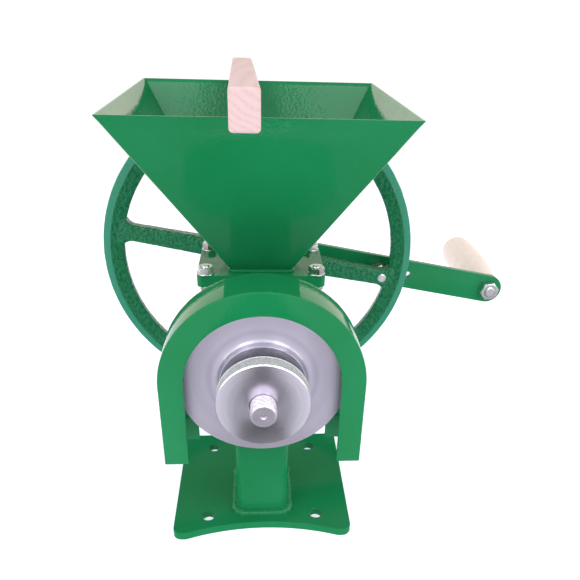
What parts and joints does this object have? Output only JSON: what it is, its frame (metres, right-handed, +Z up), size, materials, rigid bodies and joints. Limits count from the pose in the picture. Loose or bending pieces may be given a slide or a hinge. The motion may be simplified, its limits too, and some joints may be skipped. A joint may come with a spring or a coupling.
{
  "type": "hand grain mill",
  "caption": "Hand-cranked burr mill with a square hopper, adjustable burrs under an arched guard, and a spoked flywheel with a crank arm on a pedestal base.",
  "frame": {"origin": "centre of the base plate's underside, midway between its four fixing holes", "axes": "+Z up from the bench; -Y towards the burrs and the adjusting knob; +Y towards the flywheel; +X towards the crank arm at rest"},
  "size_m": [0.4438, 0.4515, 0.3959],
  "materials": {
    "painted_steel": "gloss enamel",
    "painted_casting": "gloss enamel over rough casting",
    "turned_steel": "lathe-turned",
    "zinc_plate": "bright zinc",
    "bare_iron": "machined",
    "birch": "smooth, unvarnished",
    "pine": "planed, eased edges",
    "black_rubber": "matt",
    "bronze": "machined"
  },
  "bodies": {
    "frame": {"base_plate": "painted_steel", "pedestal_post": "painted_steel", "post_weld": "painted_steel", "mill_housing": "painted_steel", "throat_flange": "painted_steel", "throat_gasket": "painted_steel", "hopper_flange": "painted_steel", "hopper": "painted_steel", "flange_bolts": "zinc_plate", "flange_washers": "zinc_plate", "flange_nuts": "zinc_plate", "stationary_burr": "bare_iron", "stator_screws": "zinc_plate", "shaft_seal": "black_rubber", "bearing_outer_races": "turned_steel", "bearing_spacer": "turned_steel", "bearing_cap": "painted_steel", "cap_screws": "zinc_plate"},
    "crank": {"main_shaft": "turned_steel", "feed_auger": "bare_iron", "auger_pin": "turned_steel", "bearing_inner_races": "turned_steel", "bearing_balls": "turned_steel", "inner_spacer": "turned_steel", "hub_sleeve": "turned_steel", "carrier_key": "turned_steel", "flywheel": "painted_casting", "wheel_key": "turned_steel", "wheel_washer": "zinc_plate", "wheel_nut": "zinc_plate", "crank_arm": "painted_steel", "arm_spacers": "zinc_plate", "arm_bolts": "zinc_plate", "handle_bolt": "zinc_plate", "handle_nut": "zinc_plate", "handle_jam_nut": "zinc_plate", "handle_washer": "zinc_plate"},
    "carrier": {"burr_carrier": "turned_steel", "rotating_burr": "bare_iron", "rotor_screws": "zinc_plate", "thrust_washer": "bronze"},
    "knob": {"adjusting_knob": "turned_steel"},
    "grip": {"hand_grip": "birch", "grip_sleeve": "bronze"},
    "guard": {"guard_front": "painted_steel", "guard_band": "painted_steel", "guard_back": "painted_steel"},
    "bar": {"hopper_bar": "pine"}
  },
  "joints": [
    {"name": "crank_spin", "type": "hinge", "parent": "frame", "child": "crank", "pos_m": [0, 0, 0.198], "axis": [0, 1, 0], "continuous": true},
    {"name": "carrier_slide", "type": "slide", "parent": "crank", "child": "carrier", "axis": [0, 1, 0], "range_m": [-0.005, 0.00037]},
    {"name": "knob_turn", "type": "hinge", "parent": "carrier", "child": "knob", "pos_m": [0, -0.135, 0.198], "axis": [0, 1, 0], "range_deg": [-720, 54]},
    {"name": "grip_spin", "type": "hinge", "parent": "crank", "child": "grip", "pos_m": [0.26351, 0.23, 0.14916], "axis": [0, 1, 0], "continuous": true},
    {"name": "guard_lift", "type": "slide", "parent": "frame", "child": "guard", "axis": [0, 0, 1], "range_m": [0, 0.07]},
    {"name": "bar_lift", "type": "slide", "parent": "frame", "child": "bar", "axis": [0, 0, 1], "range_m": [0, 0.15]}
  ],
  "couplings": [
    {"joint": "knob_turn", "follows": "carrier_slide", "rad_per_m": 2513.3}
  ]
}
